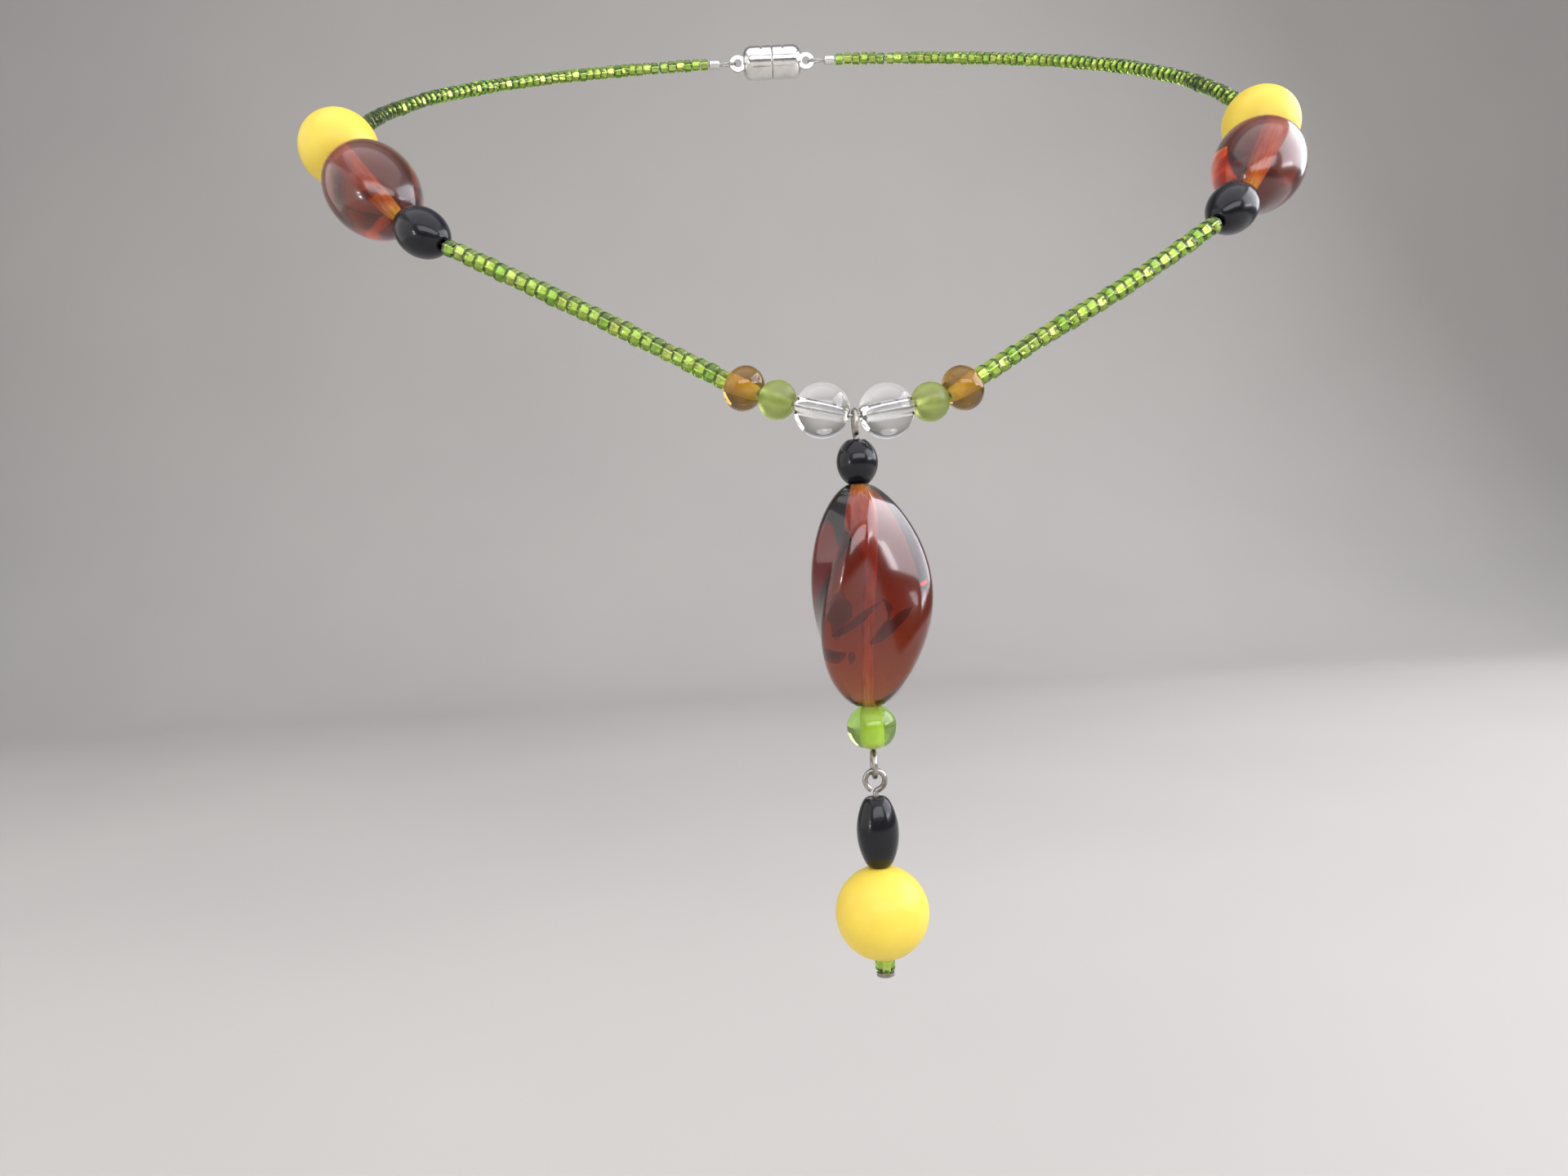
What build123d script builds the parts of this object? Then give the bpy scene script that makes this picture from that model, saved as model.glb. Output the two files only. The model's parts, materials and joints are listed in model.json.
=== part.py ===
"""A beaded pendant necklace, in millimetres.

+Z is up along the hanging drop, +X runs across the front, and the front faces -Y.
The origin is the middle of the neck opening. The strand lies as it is worn: a low
front, two rising sides and a high back, where a magnetic clasp closes it.
"""

import os
from math import acos, atan2, cos, degrees, floor, pi, radians, sin, sqrt, tan
from typing import NamedTuple

from build123d import *

os.makedirs("parts", exist_ok=True)


class Bead(NamedTuple):
    """Length along the hole, widest diameter, hole diameter, radius of the flat end, and
    radius of the rounded nose, which is 0 where one arc makes the whole side."""

    length: float
    diameter: float
    hole: float
    flat: float
    nose: float = 0


def ball(length: float, diameter: float, hole: float) -> Bead:
    """A ball that is cut flat at both mouths of its hole."""
    return Bead(length, diameter, hole, sqrt(diameter**2 - length**2) / 2)


# Places
HANG = Vector(2.0, -50.0, -40.0)  # where the drop hangs on the strand
CLASP = Vector(0.0, 47.6, 39.2)  # middle of the clasp, at the back
SIDES = {"left": -1, "right": 1}

# Beads of the strand
CLEAR = ball(5.8, 6.0, 1.3)
FROSTED = Bead(3.8, 4.3, 1.0, 0.8)
AMBER = Bead(3.85, 5.0, 1.1, 0.95)
BLACK_OVAL = Bead(8.0, 5.9, 1.2, 0.9, 2.1)
TORTOISE = Bead(15.7, 11.2, 1.5, 1.1, 4.2)
YELLOW = ball(9.8, 10.0, 1.3)

# Beads of the drop
BARREL = Bead(4.7, 4.4, 1.1, 1.0, 1.9)
GREEN_ROUND = Bead(4.5, 5.3, 1.1, 1.0)
BLACK_TUBE = Bead(7.4, 4.5, 1.5, 1.1, 1.7)

HOLE_BEVEL = 0.04  # at each mouth of a bead's hole
NEARLY_UPRIGHT = 0.001  # sine of a hole's lean, below which the bead is set square to X

# Seed beads
SEED_DIAMETER = 2.1
SEED_LENGTH = 1.36
SEED_PITCH = 1.44
SEED_ROUNDING = 0.42
SEED_HOLE = 0.85  # square
SEED_HOLE_ROUNDING = 0.15
SEED_SHIFT = 0.05  # how far a bead sits off the wire's line
SEED_TILT = 2.0  # degrees
SEED_SHIFT_STEP = 2.4  # radians that the shift turns from one bead to the next
SEED_SPREAD = 0.035  # how far a bead's width differs from the usual, as a share
SEED_SPREAD_STEP = 7.2  # radians that the width's wave runs on from one bead to the next
SEED_LINK_STEP = 5  # beads that each link of the back starts further along those two

# The strand's line, from the hanging point: bead, heading from the X axis, rise
SEED_RUN = {"left": 27, "right": 26}
FRONT_LINE = {
    "left": [
        (CLEAR, 12, 15), (FROSTED, 19, 21), (AMBER, 24, 26),
        ("seeds", 22, 30), ("seeds", 20, 30), ("seeds", 17, 29), ("seeds", 15, 29),
        (BLACK_OVAL, 34, 32), (TORTOISE, 44, 40), (YELLOW, 62, 37),
    ],
    "right": [
        (CLEAR, 8, 8), (FROSTED, 15, 11), (AMBER, 16, 29),
        ("seeds", 15, 29), ("seeds", 17, 27), ("seeds", 18, 29), ("seeds", 19, 31),
        (BLACK_OVAL, 39, 31), (TORTOISE, 50, 39), (YELLOW, 81, 37),
    ],
}
SEED_RUNS = 4  # stretches that the front's seed beads are laid in
SEED_END_GAPS = (0.1, 0.2)  # from the amber bead's corner, and to the black bead's
SEEDS_FROM, SEEDS_TO = 3, 7  # the corners of the front line that they lie between

# Corners of the back, the same on both sides, as distance from the middle, Y, Z
BACK_LINE = [
    (61.4, -8.5, 8.0), (60.2, 2.5, 14.8), (56.0, 14.5, 21.8), (48.8, 26.0, 28.0),
    (39.0, 36.0, 33.2), (27.5, 43.4, 37.0), (15.0, 47.6, 39.2),
]

# Spaces between pieces
EYE_SPACE = 0.65  # from the hanging point to the first bead on each side
BEAD_GAP = 0.06  # from a corner to a bead's end, with more where the line turns
PIVOT_GAP = 0.15  # from a flex point to the seed bead on each side of it
FIRST_PIVOT_GAP = 0.32  # the same, beside the yellow bead
WIRE_GAP = 0.08
DROP_GAP = 0.06

# Wires
STRAND_WIRE = 0.38
PIN_WIRE = 0.6
WIRE_PLAY = 0.12  # how far the strand wire may cut a corner inside large beads
CORNER_SHARE = 0.45  # share of the shorter run that a corner's arc takes

# Eyepin and headpin
EYE_RADIUS = 1.3  # to the middle of the wire
PIN_LOOP_RADIUS = 1.05
EYE_NECK = 0.5  # radius of the bend below an eye
PIN_LOOP_NECK = 0.45
PIN_LOOP_SHANK = 0.4  # straight wire between the headpin's loop and its first bead
EYE_TURN = 316  # degrees of each loop
EYE_CLEARANCE = 0.12
LINK_CLEARANCE = 0.05
HEAD_DIAMETER = 1.9
HEAD_HEIGHT = 0.4

# Twisted bead
TWIST_LENGTH = 23.4
TWIST_WIDTH = 12.0
TWIST_DEPTH = 8.8
TWIST_CORNER = 2.6
TWIST_TURN = 90  # degrees from end to end
TWIST_START = 15  # degrees, at mid-height
TWIST_END_SHARE = 0.24  # size of the ends against the middle
TWIST_BULGE = 0.8  # how far the body leans off its hole
TWIST_STATIONS = 11
TWIST_HOLE = 1.3

# Clasp: two cups, each with a disc magnet and an eye
CUP_DIAMETER = 6.0
CUP_LENGTH = 5.4
CUP_CROWN = 1.6
CUP_GAP = 0.08  # between the two mouths
CUP_LIP = 0.2
GROOVE_WIDTH = 0.4
GROOVE_DEPTH = 0.2
MAGNET_DIAMETER = 4.5
MAGNET_LENGTH = 2.0
MAGNET_INSET = 0.1
MAGNET_PLAY = 0.05
MAGNET_CHAMFER = 0.15
CUP_EYE_OUTER = 1.5
CUP_EYE_INNER = 0.8
CUP_EYE_THICKNESS = 0.7
CUP_EYE_REACH = 1.0  # from the cup's crown to the middle of its eye

# Crimp tube and the wire's loop
CRIMP_LENGTH = 2.0
CRIMP_HEIGHT = 1.5
CRIMP_HOLE = 0.46
CRIMP_ROUNDING = 0.25
WIRE_PAIR = 0.44  # between the two strands of wire in the crimp
LOOP_LENGTH = 3.0
LOOP_WIDTH = 2.1
LOOP_RADIUS = 0.78
LOOP_THROAT = 1.5
LOOP_CLEARANCE = 0.13  # to the rim of the clasp's eye

# Derived places on the clasp, measured from its middle along X
CUP_BACK = CUP_GAP / 2 + CUP_LENGTH
CUP_EYE = CUP_BACK + CUP_EYE_REACH
LOOP_END = CUP_EYE + CUP_EYE_INNER - STRAND_WIRE / 2 - LOOP_CLEARANCE
CRIMP_START = LOOP_END + LOOP_LENGTH
CRIMP_END = CRIMP_START + CRIMP_LENGTH


def save(part, name):
    """Label a finished piece and write it under its node's name."""
    part.label = name
    export_step(part, f"parts/{name}.step")


# ---------------------------------------------------------------- the strand's line


def direction(side, heading, rise):
    """Unit vector that turns from the side's X towards +Y, and climbs."""
    level = cos(radians(rise))
    return Vector(
        SIDES[side] * cos(radians(heading)) * level, sin(radians(heading)) * level, sin(radians(rise))
    )


def end_gap(bead, along, beside):
    """Space at a bead's end, so that its flat end clears the turn to the next piece."""
    half_turn = radians(along.get_angle(beside)) / 2
    return BEAD_GAP + bead.flat * tan(half_turn)


def front_runs(side):
    """Each stretch of the front: its bead, direction, and the gaps before and after the bead."""
    line = [(bead, direction(side, heading, rise)) for bead, heading, rise in FRONT_LINE[side]]
    runs = []
    for index, (bead, along) in enumerate(line):
        if bead == "seeds":
            runs.append((bead, along, 0, 0))
            continue
        before, after = EYE_SPACE, BEAD_GAP
        if index > 0:
            before = end_gap(bead, along, line[index - 1][1])
        if index < len(line) - 1:
            after = end_gap(bead, along, line[index + 1][1])
        runs.append((bead, along, before, after))
    return runs


def front_corners(side):
    """Corners of the strand from the hanging point to the far end of the yellow bead."""
    corners = [HANG]
    seed_stretch = (SEED_RUN[side] * SEED_PITCH + sum(SEED_END_GAPS)) / SEED_RUNS
    for bead, along, before, after in front_runs(side):
        run = seed_stretch if bead == "seeds" else before + bead.length + after
        corners.append(corners[-1] + along * run)
    return corners


def corner_radii(points, play=None):
    """Arcs as large as their runs allow, or as the play inside the beads allows."""
    radii = []
    for before, corner, after in zip(points, points[1:], points[2:]):
        half_turn = radians((corner - before).get_angle(after - corner)) / 2
        shorter = min((corner - before).length, (after - corner).length)
        radius = CORNER_SHARE * shorter / tan(half_turn)
        if play is not None:
            radius = min(radius, play / (1 / cos(half_turn) - 1))
        radii.append(radius)
    return radii


def midway(start, end):
    """The point halfway between two."""
    return start + (end - start) * 0.5


def short_of(end, start, gap):
    """The point that stops a gap short of end, coming from start."""
    return end + (start - end).normalized() * gap


def back_links(side):
    """Each flexing link of the back, as its corners from one flex point to the next."""
    corners = [Vector(SIDES[side] * across, y, z) for across, y, z in BACK_LINE]
    yellow_end = front_corners(side)[-1]
    flex = [midway(corners[1], corners[2]), midway(corners[3], corners[4]), midway(corners[5], corners[6])]
    clasp_side = CLASP + Vector(SIDES[side] * CRIMP_END, 0, 0)
    return [
        [yellow_end, corners[0], corners[1], flex[0]],
        [flex[0], corners[2], corners[3], flex[1]],
        [flex[1], corners[4], corners[5], flex[2]],
        [flex[2], corners[6], clasp_side],
    ]


# ---------------------------------------------------------------- beads


def bead_plane(centre, along):
    """A plane through the bead whose Y runs along its hole."""
    across = along.cross(Vector(0, 0, 1))
    if across.length < NEARLY_UPRIGHT:
        across = Vector(1, 0, 0)
    return Plane(origin=centre, x_dir=across, z_dir=across.cross(along))


def bead_side(bead):
    """The outer side of a bead's profile, in the current line: one arc, or three in an oval."""
    widest, half = bead.diameter / 2, bead.length / 2
    if not bead.nose:
        ThreePointArc((bead.flat, -half), (widest, 0), (bead.flat, half))
        return
    nose_height = half - sqrt(bead.nose**2 - bead.flat**2)
    swell = widest - bead.nose
    offset = (nose_height**2 - swell**2) / (2 * swell)
    meeting = degrees(atan2(nose_height, offset))
    nose_turn = degrees(acos(bead.flat / bead.nose)) - meeting
    CenterArc((0, -nose_height), bead.nose, -meeting, -nose_turn)
    CenterArc((-offset, 0), widest + offset, -meeting, 2 * meeting)
    CenterArc((0, nose_height), bead.nose, meeting, nose_turn)


def turned_bead(bead, centre, along):
    """A bead turned about its hole, with a round side and small flat ends."""
    half = bead.length / 2
    bore = bead.hole / 2
    bevel = HOLE_BEVEL
    with BuildPart() as turned:
        with BuildSketch(bead_plane(centre, along)):
            with BuildLine():
                bead_side(bead)
                Polyline(
                    (bead.flat, half), (bore + bevel, half), (bore, half - bevel),
                    (bore, bevel - half), (bore + bevel, -half), (bead.flat, -half),
                )
            make_face()
        revolve(axis=Axis(centre, along))
    return turned.part


def seed_bead(plane, length, diameter):
    """A seed bead: a short rounded tube with a square hole."""
    start = plane.offset(-length / 2)
    with BuildPart() as seed:
        with BuildSketch(start):
            Circle(diameter / 2)
        extrude(amount=length)
        fillet(seed.edges().filter_by(GeomType.CIRCLE), SEED_ROUNDING)
        with BuildSketch(start):
            RectangleRounded(SEED_HOLE, SEED_HOLE, SEED_HOLE_ROUNDING)
        extrude(amount=length, mode=Mode.SUBTRACT)
    return seed.part


def seed_string(line, start_gap, end_gap, count=None, number=0):
    """Seed beads along a line, each a little different from its neighbours."""
    usable = line.length - start_gap - end_gap
    count = count or floor(usable / SEED_PITCH)
    pitch = usable / count
    beads = []
    for index in range(count):
        phase = SEED_SHIFT_STEP * (index + number)
        spread = SEED_SPREAD * sin(SEED_SPREAD_STEP * (index + number))
        place = start_gap + (index + 0.5) * pitch
        centre = line.position_at(place, position_mode=PositionMode.LENGTH)
        plane = Plane(origin=centre, z_dir=line.tangent_at(place, position_mode=PositionMode.LENGTH))
        outward = plane.x_dir * cos(phase) + plane.y_dir * sin(phase)
        leaning = plane.z_dir + outward.cross(plane.z_dir) * tan(radians(SEED_TILT))
        seat = Plane(origin=centre + outward * SEED_SHIFT, x_dir=outward.cross(leaning), z_dir=leaning)
        length = min(SEED_LENGTH, pitch - (SEED_PITCH - SEED_LENGTH))
        beads.append(seed_bead(seat, length, SEED_DIAMETER * (1 + spread)))
    return Compound(children=beads)


def wire_along(points, radii, diameter=STRAND_WIRE):
    """A round wire of straight runs and tangent arcs."""
    with BuildPart() as wire:
        with BuildLine() as route:
            FilletPolyline(*points, radius=radii)
        path = route.wire()
        with BuildSketch(Plane(origin=path @ 0, z_dir=path % 0)):
            Circle(diameter / 2)
        sweep(path=path)
    share = wire.part.volume / (pi * diameter**2 / 4 * path.length)
    print(f"wire of {path.length:.1f} mm, volume share {share:.4f}, least radius {min(radii):.2f}")
    return wire.part


def line_along(points, radii):
    """The line that seed beads are laid along."""
    with BuildLine() as route:
        FilletPolyline(*points, radius=radii)
    return route.wire()


# ---------------------------------------------------------------- front of the strand

BEAD_NAMES = {
    CLEAR: "clear_bead", FROSTED: "frosted_bead", AMBER: "amber_bead",
    BLACK_OVAL: "black_oval_bead", TORTOISE: "tortoise_bead", YELLOW: "yellow_bead",
}


def strand_bead_places(side):
    """Name, shape, centre and direction of each large bead on one side."""
    corners = front_corners(side)
    places = []
    for (bead, along, before, _), corner in zip(front_runs(side), corners):
        if bead != "seeds":
            centre = corner + along * (before + bead.length / 2)
            places.append((f"{BEAD_NAMES[bead]}_{side}", bead, centre, along))
    return places


def make_front():
    left, right = front_corners("left"), front_corners("right")
    points = left[::-1] + right[1:]
    radii = corner_radii(points, WIRE_PLAY)
    points[0] = short_of(left[-1], left[-2], WIRE_GAP)
    points[-1] = short_of(right[-1], right[-2], WIRE_GAP)
    save(wire_along(points, radii), "front_wire")
    for side in SIDES:
        for name, shape, centre, along in strand_bead_places(side):
            save(turned_bead(shape, centre, along), name)
        corners = front_corners(side)[SEEDS_FROM : SEEDS_TO + 1]
        line = line_along(corners, corner_radii(corners, WIRE_PLAY))
        seeds = seed_string(line, *SEED_END_GAPS, SEED_RUN[side])
        save(seeds, f"front_seed_beads_{side}")


# ---------------------------------------------------------------- back of the strand


def loop_corners(side):
    """The wire's loop through the clasp's eye and back into the crimp tube."""
    outline = [
        (CRIMP_START, 0), (LOOP_END, (WIRE_PAIR - LOOP_WIDTH) / 2),
        (LOOP_END, (WIRE_PAIR + LOOP_WIDTH) / 2), (CRIMP_START, WIRE_PAIR), (CRIMP_END, WIRE_PAIR),
    ]
    return [CLASP + Vector(SIDES[side] * across, y, 0) for across, y in outline]


def make_back(side):
    links = back_links(side)
    for number, corners in enumerate(links, start=1):
        radii = corner_radii(corners)
        first_gap = FIRST_PIVOT_GAP if number == 1 else PIVOT_GAP
        last_gap = BEAD_GAP if number == len(links) else PIVOT_GAP
        seeds = seed_string(
            line_along(corners, radii), first_gap, last_gap, number=number * SEED_LINK_STEP
        )
        save(seeds, f"back_seed_beads_{side}_{number}")
        points = [short_of(corners[0], corners[1], WIRE_GAP)] + corners[1:-1]
        if number == len(links):
            points += loop_corners(side)
            radii += [LOOP_THROAT, LOOP_RADIUS, LOOP_RADIUS, LOOP_THROAT]
        else:
            points.append(short_of(corners[-1], corners[-2], WIRE_GAP))
        save(wire_along(points, radii), f"back_wire_{side}_{number}")


def make_crimp_tube(side):
    """A flattened tube around the two strands of wire."""
    start = CLASP + Vector(SIDES[side] * CRIMP_START, WIRE_PAIR / 2, 0)
    plane = Plane(origin=start, x_dir=(0, 1, 0), z_dir=(SIDES[side], 0, 0))
    with BuildPart() as tube:
        with BuildSketch(plane):
            SlotCenterToCenter(WIRE_PAIR, CRIMP_HEIGHT)
        extrude(amount=CRIMP_LENGTH - BEAD_GAP)
        fillet(tube.faces().sort_by(Axis.X)[0].edges(), CRIMP_ROUNDING)
        fillet(tube.faces().sort_by(Axis.X)[-1].edges(), CRIMP_ROUNDING)
        with BuildSketch(plane):
            SlotCenterToCenter(WIRE_PAIR, CRIMP_HOLE)
        extrude(amount=CRIMP_LENGTH, mode=Mode.SUBTRACT)
    save(tube.part, f"crimp_tube_{side}")


def make_clasp_half(side):
    """A cup with its eye, and the magnet set in its mouth."""
    sign = SIDES[side]
    mouth = Plane(
        origin=CLASP + Vector(sign * CUP_GAP / 2, WIRE_PAIR / 2, 0), x_dir=(0, 1, 0), z_dir=(sign, 0, 0)
    )
    eye_face = Vector(sign * CUP_EYE, (WIRE_PAIR + CUP_EYE_THICKNESS) / 2, 0)
    eye = Plane(origin=CLASP + eye_face, x_dir=(1, 0, 0), z_dir=(0, -1, 0))
    with BuildPart() as cup:
        with BuildSketch(mouth):
            Circle(CUP_DIAMETER / 2)
        extrude(amount=CUP_LENGTH)
        crown = cup.edges().filter_by(GeomType.CIRCLE).sort_by_distance(CLASP)
        fillet(crown[-1], CUP_CROWN)
        fillet(crown[0], CUP_LIP)
        with BuildSketch(mouth.offset(CUP_LENGTH / 3)):
            Circle(CUP_DIAMETER / 2)
            Circle(CUP_DIAMETER / 2 - GROOVE_DEPTH, mode=Mode.SUBTRACT)
        extrude(amount=GROOVE_WIDTH, mode=Mode.SUBTRACT)
        with BuildSketch(eye):
            Circle(CUP_EYE_OUTER)
        extrude(amount=CUP_EYE_THICKNESS)
        with BuildSketch(eye):
            Circle(CUP_EYE_INNER)
        extrude(amount=CUP_EYE_THICKNESS, mode=Mode.SUBTRACT)
        with BuildSketch(mouth):
            Circle(MAGNET_DIAMETER / 2 + MAGNET_PLAY)
        extrude(amount=MAGNET_INSET + MAGNET_LENGTH + MAGNET_PLAY, mode=Mode.SUBTRACT)
    save(cup.part, f"clasp_cup_{side}")

    with BuildPart() as magnet:
        with BuildSketch(mouth.offset(MAGNET_INSET)):
            Circle(MAGNET_DIAMETER / 2)
        extrude(amount=MAGNET_LENGTH)
        chamfer(magnet.edges().filter_by(GeomType.CIRCLE), MAGNET_CHAMFER)
    save(magnet.part, f"clasp_magnet_{side}")


# ---------------------------------------------------------------- the drop


def neck_angle(radius, neck):
    """How far the wire turns out of line before it starts round its loop."""
    return acos(neck / (radius + neck))


def loop_height(radius, neck):
    """From the middle of a loop down to where the straight pin starts to bend."""
    return (radius + neck) * sin(neck_angle(radius, neck))


def add_eye(start, tangent, radius, neck):
    """The bend and the loop that end a pin, in the current line."""
    turn = degrees(neck_angle(radius, neck))
    bend = JernArc(start, tangent, neck, -turn)
    JernArc(bend @ 1, bend % 1, radius, EYE_TURN)


EYE_DROP = EYE_RADIUS - PIN_WIRE / 2 - STRAND_WIRE / 2 - EYE_CLEARANCE
TOP_EYE = HANG.Z - EYE_DROP  # height of the upper eye's middle
BARREL_TOP = TOP_EYE - loop_height(EYE_RADIUS, EYE_NECK) - DROP_GAP
TWIST_TOP = BARREL_TOP - BARREL.length - DROP_GAP
GREEN_TOP = TWIST_TOP - TWIST_LENGTH - DROP_GAP
LOW_EYE = GREEN_TOP - GREEN_ROUND.length - DROP_GAP - loop_height(EYE_RADIUS, EYE_NECK)
LINK = LOW_EYE - EYE_RADIUS  # middle of the wire that the headpin hangs on
PIN_LOOP = LINK + PIN_WIRE + LINK_CLEARANCE - PIN_LOOP_RADIUS
TUBE_TOP = PIN_LOOP - loop_height(PIN_LOOP_RADIUS, PIN_LOOP_NECK) - PIN_LOOP_SHANK
YELLOW_TOP = TUBE_TOP - BLACK_TUBE.length - DROP_GAP
LAST_SEED_TOP = YELLOW_TOP - YELLOW.length - DROP_GAP
HEAD_TOP = LAST_SEED_TOP - SEED_LENGTH - DROP_GAP


def on_drop(height):
    """A point on the drop's line."""
    return Vector(HANG.X, HANG.Y, height)


def make_eyepin():
    """Straight wire with a loop at each end, both loops facing along X."""
    plane = Plane(origin=on_drop(0), x_dir=(0, 1, 0), z_dir=(1, 0, 0))
    top = TOP_EYE - loop_height(EYE_RADIUS, EYE_NECK)
    bottom = LOW_EYE + loop_height(EYE_RADIUS, EYE_NECK)
    with BuildPart() as eyepin:
        with BuildLine(plane) as route:
            Line((0, top), (0, bottom))
            add_eye((0, top), (0, 1), EYE_RADIUS, EYE_NECK)
            add_eye((0, bottom), (0, -1), EYE_RADIUS, EYE_NECK)
        path = route.wire()
        with BuildSketch(Plane(origin=path @ 0, z_dir=path % 0)):
            Circle(PIN_WIRE / 2)
        sweep(path=path)
    save(eyepin.part, "eyepin")


def make_headpin():
    """Straight wire with a loop above, facing along Y, and a flat head below."""
    plane = Plane(origin=on_drop(0), x_dir=(1, 0, 0), z_dir=(0, -1, 0))
    top = PIN_LOOP - loop_height(PIN_LOOP_RADIUS, PIN_LOOP_NECK)
    with BuildPart() as headpin:
        with BuildLine(plane) as route:
            Line((0, HEAD_TOP - HEAD_HEIGHT), (0, top))
            add_eye((0, top), (0, 1), PIN_LOOP_RADIUS, PIN_LOOP_NECK)
        path = route.wire()
        with BuildSketch(Plane(origin=path @ 0, z_dir=path % 0)):
            Circle(PIN_WIRE / 2)
        sweep(path=path)
        with BuildSketch(Plane(origin=on_drop(HEAD_TOP - HEAD_HEIGHT))):
            Circle(HEAD_DIAMETER / 2)
        extrude(amount=HEAD_HEIGHT)
    save(headpin.part, "headpin")


def make_twisted_bead():
    """A rounded bar that tapers to both ends and turns a quarter about its hole."""
    middle = TWIST_TOP - TWIST_LENGTH / 2
    waist = sqrt(1 - TWIST_END_SHARE**2)
    with BuildPart() as bead:
        for station in range(TWIST_STATIONS):
            along = -cos(pi * station / (TWIST_STATIONS - 1))
            share = sqrt(1 - (waist * along) ** 2)
            lean = TWIST_BULGE * cos(along * pi / 2)
            plane = Plane(origin=on_drop(middle + along * TWIST_LENGTH / 2) + Vector(lean, 0, 0))
            with BuildSketch(plane):
                RectangleRounded(
                    TWIST_WIDTH * share, TWIST_DEPTH * share, TWIST_CORNER * share,
                    rotation=TWIST_START + TWIST_TURN / 2 * along,
                )
        loft()
        with BuildSketch(Plane(origin=on_drop(middle))):
            Circle(TWIST_HOLE / 2)
        extrude(amount=TWIST_LENGTH, both=True, mode=Mode.SUBTRACT)
    save(bead.part, "twisted_bead")


def make_drop_beads():
    down = Vector(0, 0, 1)
    for name, shape, top in [
        ("drop_barrel_bead", BARREL, BARREL_TOP),
        ("drop_green_bead", GREEN_ROUND, GREEN_TOP),
        ("drop_black_bead", BLACK_TUBE, TUBE_TOP),
        ("drop_yellow_bead", YELLOW, YELLOW_TOP),
    ]:
        save(turned_bead(shape, on_drop(top - shape.length / 2), down), name)
    seed_plane = Plane(origin=on_drop(LAST_SEED_TOP - SEED_LENGTH / 2))
    save(seed_bead(seed_plane, SEED_LENGTH, SEED_DIAMETER), "drop_seed_bead")


def make_all():
    make_front()
    for side in SIDES:
        make_back(side)
        make_crimp_tube(side)
        make_clasp_half(side)
    make_eyepin()
    make_headpin()
    make_twisted_bead()
    make_drop_beads()


make_all()
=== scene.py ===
"""The looks of the pendant necklace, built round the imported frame. Metres throughout."""

import json
from math import acos, atan2, cos, pi, radians, sin, sqrt
from random import Random

import bmesh
import bpy
import numpy as np
from mathutils import Matrix, Vector, noise


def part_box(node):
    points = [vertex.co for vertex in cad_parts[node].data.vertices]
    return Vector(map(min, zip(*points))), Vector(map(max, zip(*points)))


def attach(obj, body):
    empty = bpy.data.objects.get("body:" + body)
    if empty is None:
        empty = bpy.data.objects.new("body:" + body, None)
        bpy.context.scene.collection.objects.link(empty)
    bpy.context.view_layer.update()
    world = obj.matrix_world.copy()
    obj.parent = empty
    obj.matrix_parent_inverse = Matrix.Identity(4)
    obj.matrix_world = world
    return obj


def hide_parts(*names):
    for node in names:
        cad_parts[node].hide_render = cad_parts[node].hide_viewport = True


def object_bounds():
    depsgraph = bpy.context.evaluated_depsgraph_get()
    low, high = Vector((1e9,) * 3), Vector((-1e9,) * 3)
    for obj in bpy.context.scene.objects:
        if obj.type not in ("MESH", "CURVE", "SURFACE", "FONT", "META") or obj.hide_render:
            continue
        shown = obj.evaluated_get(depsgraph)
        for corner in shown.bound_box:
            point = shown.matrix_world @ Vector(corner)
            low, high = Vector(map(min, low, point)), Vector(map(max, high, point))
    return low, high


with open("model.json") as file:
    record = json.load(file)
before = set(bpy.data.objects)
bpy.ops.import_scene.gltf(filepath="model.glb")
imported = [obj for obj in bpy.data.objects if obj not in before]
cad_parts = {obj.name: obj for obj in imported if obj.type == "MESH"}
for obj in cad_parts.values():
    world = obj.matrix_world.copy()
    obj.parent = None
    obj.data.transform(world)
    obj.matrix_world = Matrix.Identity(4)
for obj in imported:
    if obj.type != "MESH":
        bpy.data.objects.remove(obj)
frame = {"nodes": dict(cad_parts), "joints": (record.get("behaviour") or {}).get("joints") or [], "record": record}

MM = 0.001
cad_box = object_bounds()

record = frame["record"]
nodes = frame["nodes"]
joints = {joint["name"]: joint for joint in frame["joints"]}
node_body = {node: body for body, members in record["behaviour"]["bodies"].items() for node in members}
SIDES = ("left", "right")

# ---------------------------------------------------------------- mesh helpers


def ring_mesh(name, shells, materials, capped=False):
    """One smooth mesh of shells, each as its rings of points and the material slot of the band after
    each ring. The last ring joins round to the first, or both are capped."""
    verts, faces, face_slots = [], [], []
    for rings, slots in shells:
        base, count = len(verts), len(rings[0])
        for ring in rings:
            verts.extend(ring)
        for row in range(len(rings) - capped):
            here = base + row * count
            after = base + (row + 1) % len(rings) * count
            for i in range(count):
                j = (i + 1) % count
                faces.append((here + i, here + j, after + j, after + i))
                face_slots.append(slots[row])
        if capped:
            last = base + (len(rings) - 1) * count
            faces += [tuple(range(base, base + count)), tuple(range(last, last + count))]
            face_slots += [slots[0], slots[-1]]
    mesh = bpy.data.meshes.new(name)
    mesh.from_pydata([tuple(v) for v in verts], [], faces)
    mesh.polygons.foreach_set("material_index", face_slots)
    work = bmesh.new()
    work.from_mesh(mesh)
    bmesh.ops.recalc_face_normals(work, faces=work.faces)
    work.to_mesh(mesh)
    work.free()
    mesh.polygons.foreach_set("use_smooth", [True] * len(mesh.polygons))
    for material in materials:
        mesh.materials.append(material)
    piece = bpy.data.objects.new(name, mesh)
    bpy.context.scene.collection.objects.link(piece)
    return piece


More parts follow.
